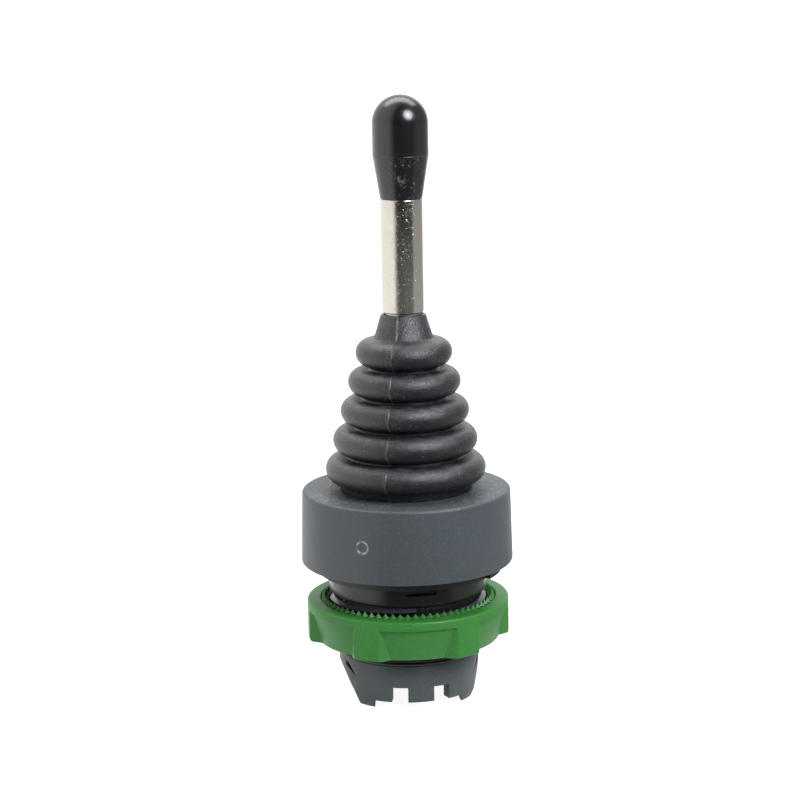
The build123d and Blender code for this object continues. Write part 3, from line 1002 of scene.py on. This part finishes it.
for start in range(starts):
    ridge = wound_ridge(f"thread_ridge_{start}", 2 * pi * start / starts + first_start)
    smooth(ridge, 30)
    # The ridges' plum is lighter than the collar's brown-black: partly their own tone, partly
    # painted light against the shade inside the nut.
    dress(ridge, thread_painted_light)
    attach(ridge, "housing")
print("each ridge", len(ridge.data.polygons), "faces")

# %% [markdown]
# ## The ring nut
#
# A turned ring gets six scoops between its lugs. A scoop's cutter is a turned wedge, deeper at the
# bottom, from which only a sector is kept by bisecting it twice.

# %% Nut
nut_bore = 11.05 * mm
bore_edge = 0.3 * mm
crown_height = 0.35 * mm
nut_top = crown_high - crown_height
band_low = nut_top - 1.25 * mm
nut_edge = 0.35 * mm
crown_out = 12.15 * mm
crown_seat = [
    (crown_out + 0.1 * mm, nut_top),
    (crown_out - 0.1 * mm, nut_top - 0.25 * mm),
    (nut_bore + 0.1 * mm, nut_top - 0.05 * mm),
    (nut_bore, nut_top - 0.15 * mm),
]
nut_outline = (
    [(nut_bore, nut_low + bore_edge), (nut_bore + bore_edge, nut_low)]
    + arc((nut_radius - nut_edge, nut_low + nut_edge), nut_edge, -90, 0, 5)
    + arc((nut_radius - nut_edge, nut_top - nut_edge), nut_edge, 0, 90, 5)
    + crown_seat
)
nut = lathe("ring_nut", nut_outline, 216)

lugs = 6
lug_share = 2 * pi / lugs
lug_turn = left_of_front(34)
lug_face = radians(7.5)
lug_root = radians(13.5)
scoop_foot = nut_radius - 1.4 * mm
scoop_head = nut_radius - 0.3 * mm


def scoop(index):
    """The cutter of one scoop: a sector of a wedge ring between two lugs."""
    outline = [
        (scoop_foot, nut_low - mm),
        (nut_radius + mm, nut_low - mm),
        (nut_radius + mm, band_low),
        (scoop_head, band_low),
        (scoop_foot, nut_low),
    ]
    middle = lug_turn + lug_share * (index + 0.5)
    cutter = lathe(f"scoop_{index}", outline, 144, middle)
    face = lug_share / 2 - lug_face
    root = lug_share / 2 - lug_root
    switch_to("EDIT")
    for side in (-1, 1):
        outer = toward(middle + side * face) * nut_radius
        inner = toward(middle + side * root) * scoop_foot
        wall = (outer - inner).normalized()
        away = Vector((wall.y, -wall.x, 0)) * -side
        bpy.ops.mesh.select_all(action="SELECT")
        bpy.ops.mesh.bisect(
            plane_co=inner, plane_no=away, use_fill=True, clear_outer=True, clear_inner=False
        )
    face_outward()
    switch_to("OBJECT")
    return cutter


for index in range(lugs):
    cut(nut, scoop(index))
round_edges(nut, width=0.3 * mm, segments=3)
print("nut", len(nut.data.polygons), "faces")

# %% [markdown]
# ## The nut's crown
#
# Pointed teeth round the nut's bore bite the panel. They are one small four-sided peak, with its
# corners pointing in, out and to its neighbours, spun round the crown as copies.

# %% Crown teeth
teeth = 72
tooth_low = nut_top - 0.1 * mm
tooth_high = nut_top + 0.5 * mm
tooth_tip = 0.04 * mm
tooth_edge = 0.025 * mm
tooth_middle = (nut_bore + crown_out) / 2
tooth_reach = (crown_out - nut_bore) / 2 - 0.02 * mm
tooth_half = pi * tooth_middle / teeth
deselect()
bpy.ops.mesh.primitive_cone_add(
    vertices=4,
    radius1=tooth_half,
    radius2=tooth_tip,
    depth=tooth_high - tooth_low,
    location=(tooth_middle, 0, (tooth_low + tooth_high) / 2),
)
crown = bpy.context.object
crown.name = "nut_crown"
bpy.ops.transform.resize(value=(tooth_reach / tooth_half, 1, 1))
settle(crown)
switch_to("EDIT")
bpy.ops.mesh.select_all(action="SELECT")
bpy.ops.mesh.bevel(offset=tooth_edge, segments=1, affect="EDGES")
bpy.ops.mesh.select_all(action="SELECT")
bpy.ops.mesh.spin(steps=teeth, angle=2 * pi, center=(0, 0, 0), axis=(0, 0, 1), dupli=True)
merge_doubles()
switch_to("OBJECT")
smooth(crown, 20)
for piece in (nut, crown):
    dress(piece, nut_finish)
    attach(piece, "nut")
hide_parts("fixing_nut")
print("crown", len(crown.data.polygons), "faces")

# %% [markdown]
# ## The castellated base
#
# Slots, feet and slanted sides are exact in the CAD node already, so a copy of its mesh is taken,
# its doubled vertices are merged and its sharp edges are rounded a little, as on moulded plastic.


# %% Base
def copy_node(name, node):
    """A copy of a CAD node's mesh with its vertices merged, at the origin."""
    mesh = nodes[node].data.copy()
    mesh.name = name
    piece = bpy.data.objects.new(name, mesh)
    bpy.context.scene.collection.objects.link(piece)
    pick(piece)
    switch_to("EDIT")
    merge_doubles()
    bpy.ops.mesh.customdata_custom_splitnormals_clear()
    face_outward()
    switch_to("OBJECT")
    return piece


base = copy_node("base_castellated", "base_skirt")
round_edges(base, width=0.1 * mm, angle=30)
dress(base, base_finish)
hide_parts("base_skirt")
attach(base, "housing")
print("base", len(base.data.polygons), "faces")

# %% [markdown]
# ## Coil springs
#
# A spring's wire is a small circle wound with a Screw modifier. The plungers' springs stretch
# between the fixed guide and a moving plunger; here they are only shaped, and no bending is set up.
# The return spring has the boot's trouble with two axes and is made, like the boot, in two halves.
# Its coils are a little narrower than the CAD spring's, so that they pass the plungers' heads at a
# full tilt.

# %% Springs
sides = ("front", "back", "left", "right")
press_radius = 1.4 * mm
press_wire = 0.14 * mm
press_turns = 5
press_coil = (press_radius, press_wire, press_turns)
wire_steps = 40


def wound_wire(name, radius, wire, turns, foot, head, place=(0, 0), start=0.0):
    """A helical wire from foot to head whose ends are capped."""
    deselect()
    bpy.ops.mesh.primitive_circle_add(
        vertices=12, radius=wire, location=(radius, 0, foot + wire), rotation=(pi / 2, 0, 0)
    )
    spring = bpy.context.object
    spring.name = name
    settle(spring)
    wind(spring, turns, head - foot - 2 * wire, wire_steps)
    spring.rotation_euler.z = start
    spring.location = (*place, 0)
    settle(spring)
    smooth(spring, 60)
    dress(spring, spring_finish)
    return spring


for side in sides:
    corner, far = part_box(f"plunger_spring_{side}")
    place = (sum(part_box(f"plunger_{side}"), Vector()) / 2).xy
    spring = wound_wire(f"press_spring_{side}", *press_coil, corner.z, far.z, place)
    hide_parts(f"plunger_spring_{side}")
    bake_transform(spring)

spring_low = low("return_spring")
spring_high = high("return_spring")
spring_middle = (spring_low + spring_high) / 2
spring_radius = 2.88 * mm
spring_wire = 0.2 * mm
half_turns = 2.25
half_coil = (spring_radius, spring_wire, half_turns)
lower_head = spring_middle + spring_wire
upper_foot = spring_middle - spring_wire
halfway = 2 * pi * half_turns
lower_spring = wound_wire("return_spring_lower", *half_coil, spring_low, lower_head)
upper_spring = wound_wire(
    "return_spring_upper", *half_coil, upper_foot, spring_high, start=halfway
)
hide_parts("return_spring")
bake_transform(lower_spring)
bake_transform(upper_spring)
print("return spring", round((spring_high - spring_low) / mm, 2), "mm long")

# %% [markdown]
# ## Finishes for the CAD pieces
#
# The inner pieces and a few outer ones are right as they are, and only their material changes. A
# table of plain names keeps that readable.

# %% CAD finishes
kept = {
    "knob_insert": (brass_finish, "bush_brass"),
    "lever_spindle": (steel_finish, "spindle_steel"),
    "boot_clamp_ring": (clamp_finish, "clamp_grey"),
    "flange_gasket": (seal_finish, "gasket_black"),
    "plunger_guide": (guide_finish, "guide_ivory"),
    "gimbal_yoke": (zinc_finish, "yoke_zinc"),
    "outer_pivot_pins": (steel_finish, "pin_steel"),
    "gimbal_ring": (brass_finish, "ring_brass"),
    "cross_pin": (steel_finish, "pin_steel"),
    "lever_hub": (steel_finish, "hub_steel"),
    "tilt_star": (steel_finish, "star_steel"),
    "retaining_clip": (spring_finish, "spring_steel"),
}
for side in sides:
    kept[f"plunger_{side}"] = (plunger_finish, "plunger_white")
for name, (finish, slot) in kept.items():
    dress(nodes[name], finish)
print("dressed", len(kept), "CAD nodes")

# %% [markdown]
# ## Floor and light
#
# The studio is white behind the object and on its left, dim on its right and dark in front, where
# the camera stands. So glossy pieces are dark in the middle and light at their sides. One function
# of the heading gives that room, both to the world and, as a painted reflection, to the floor:
# away from the object, reflections see the floor black, glowing with the room's bright left, dim
# right and dark front. A round soft box with a brighter core hangs upper right towards the camera,
# and a broad strip hangs overhead, a little behind. Each lamp's power comes from the brightness that
# it should show.


# %% Stage and lamps
camera_turn = 9.5
left_level = 1.15
right_level = 0.32
front_level = 0.045
left_edge = 37
right_edge = -60
floor_size = 6
floor_gap = 0.05 * mm
grey = (0.5, 0.5, 0.5)
black_for_reflections = (0.02, 0.02, 0.02)
cool = (0.93, 0.96, 1.0)
lamp_target = Vector((0, 0, 0.025))


def compass(turn):
    """The level direction that lies some degrees to the left of the camera."""
    return toward(left_of_front(camera_turn + turn))


def room_level(graph, heading):
    """How bright the room is towards a heading: white left and behind, dim on the right."""
    bright = []
    for turn, soft, level in (
        (left_edge + 90, 0.25, left_level),
        (right_edge - 90, 0.12, right_level),
    ):
        facing = graph.vector_math("DOT_PRODUCT", heading, compass(turn))
        bright.append(graph.ramp(facing, -soft, soft) * level)
    return bright[0].larger(bright[1]) + front_level


def stage_floor():
    """A pale floor: white to the camera, black to reflections, with the room painted on as glow."""
    deselect()
    bpy.ops.mesh.primitive_plane_add(size=floor_size, location=(0, 0, base_low - floor_gap))
    floor = bpy.context.object
    floor.name = "floor"
    white = Finish("white_floor", grey, 0.9, Emission_Strength=1.0)
    seen = white.node("ShaderNodeLightPath", {}, {}, "Is Camera Ray")
    mirrored = white.node("ShaderNodeLightPath", {}, {}, "Is Glossy Ray")
    refracted = white.node("ShaderNodeLightPath", {}, {}, "Is Transmission Ray")
    away = white.distance((0, 0, 0))
    far = white.ramp(away, 15 * mm, 35 * mm)
    glow = 0.92 + white.ramp(away, 20 * mm, 160 * mm) * 0.12
    inputs = {0: white.place}
    heading = white.node("ShaderNodeVectorMath", {"operation": "NORMALIZE"}, inputs, "Vector")
    # Away from the object, reflections see the floor black, with the room's brightness painted on it
    # as glow: a painted reflection.
    room = 0.5 + (room_level(white, heading) - 0.5) * far
    white.set("Base Color", white.mix(mirrored * far, grey, black_for_reflections))
    white.set("Emission Color", seen * glow + mirrored * room + refracted * 0.5)
    floor.data.materials.append(white.material)


def lamp(name, turn, distance, height, size, brightness, shape="RECTANGLE", colour=(1, 1, 1)):
    """A card of light at a turn to the camera's left, a distance and a height."""
    place = compass(turn) * distance + Vector((0, 0, height))
    share = pi / 4 if shape == "ELLIPSE" else 1.0
    light = bpy.data.lights.new(name, "AREA")
    light.shape = shape
    light.size, light.size_y = size
    light.energy = brightness * pi * size[0] * size[1] * share
    light.color = colour
    made = bpy.data.objects.new(name, light)
    made.location = place
    made.rotation_euler = (lamp_target - place).to_track_quat("-Z", "Y").to_euler()
    made.visible_camera = False
    bpy.context.scene.collection.objects.link(made)
    print(name, round(light.energy, 3), "W")


stage_floor()
lamp("soft_box", -40, 0.38, 0.31, (0.3, 0.3), 11.5, "ELLIPSE", cool)
lamp("soft_box_core", -38, 0.375, 0.306, (0.12, 0.12), 10.0, "ELLIPSE", cool)
lamp("overhead_strip", 180, 0.19, 0.5, (0.75, 0.26), 4.0)

# %% [markdown]
# ## The world
#
# The camera sees a plain white background. Every other ray sees the room of the cell before, so
# that the background lights the object and shows in its gloss with the same bright and dim sides.

# %% World
world = bpy.data.worlds.new("white_studio")
bpy.context.scene.world = world
world.use_nodes = True
studio = Graph(world.node_tree)
heading = studio.node("ShaderNodeTexCoord", {}, {}, "Generated")
seen = studio.node("ShaderNodeLightPath", {}, {}, "Is Camera Ray")
background = world.node_tree.nodes["Background"].inputs
studio.put(background["Strength"], seen.larger(room_level(studio, heading)))
studio.put(background["Color"], (1, 1, 1, 1))
bpy.context.scene.view_settings.view_transform = "Standard"
print("world", len(world.node_tree.nodes), "nodes")

# %% [markdown]
# ## Camera
#
# The lens looks down by about eleven degrees from the left of the head's front, and is rolled by
# one degree, which is why the lever leans a little in the picture.

# %% Camera
camera_distance = 317 * mm
camera_height = 87.1 * mm
camera_pitch = radians(11.3)
camera_roll = radians(-1.0)
aside = -0.64 * mm
picture_width = 800
focal_pixels = 2358
sensor_width = 36

away = compass(0)
right = Vector((-away.y, away.x, 0))
eye = away * camera_distance + right * aside + Vector((0, 0, camera_height))
view = -away * cos(camera_pitch) - Vector((0, 0, sin(camera_pitch)))
lens = bpy.data.cameras.new("camera")
lens.sensor_width = sensor_width
lens.lens = focal_pixels / picture_width * sensor_width
lens.clip_start = 0.01
camera = bpy.data.objects.new("camera", lens)
turn = view.to_track_quat("-Z", "Y").to_matrix().to_4x4()
camera.matrix_world = Matrix.Translation(eye) @ turn @ Matrix.Rotation(camera_roll, 4, "Z")
bpy.context.scene.collection.objects.link(camera)
bpy.context.scene.camera = camera
print("lens", round(lens.lens, 1), "mm")
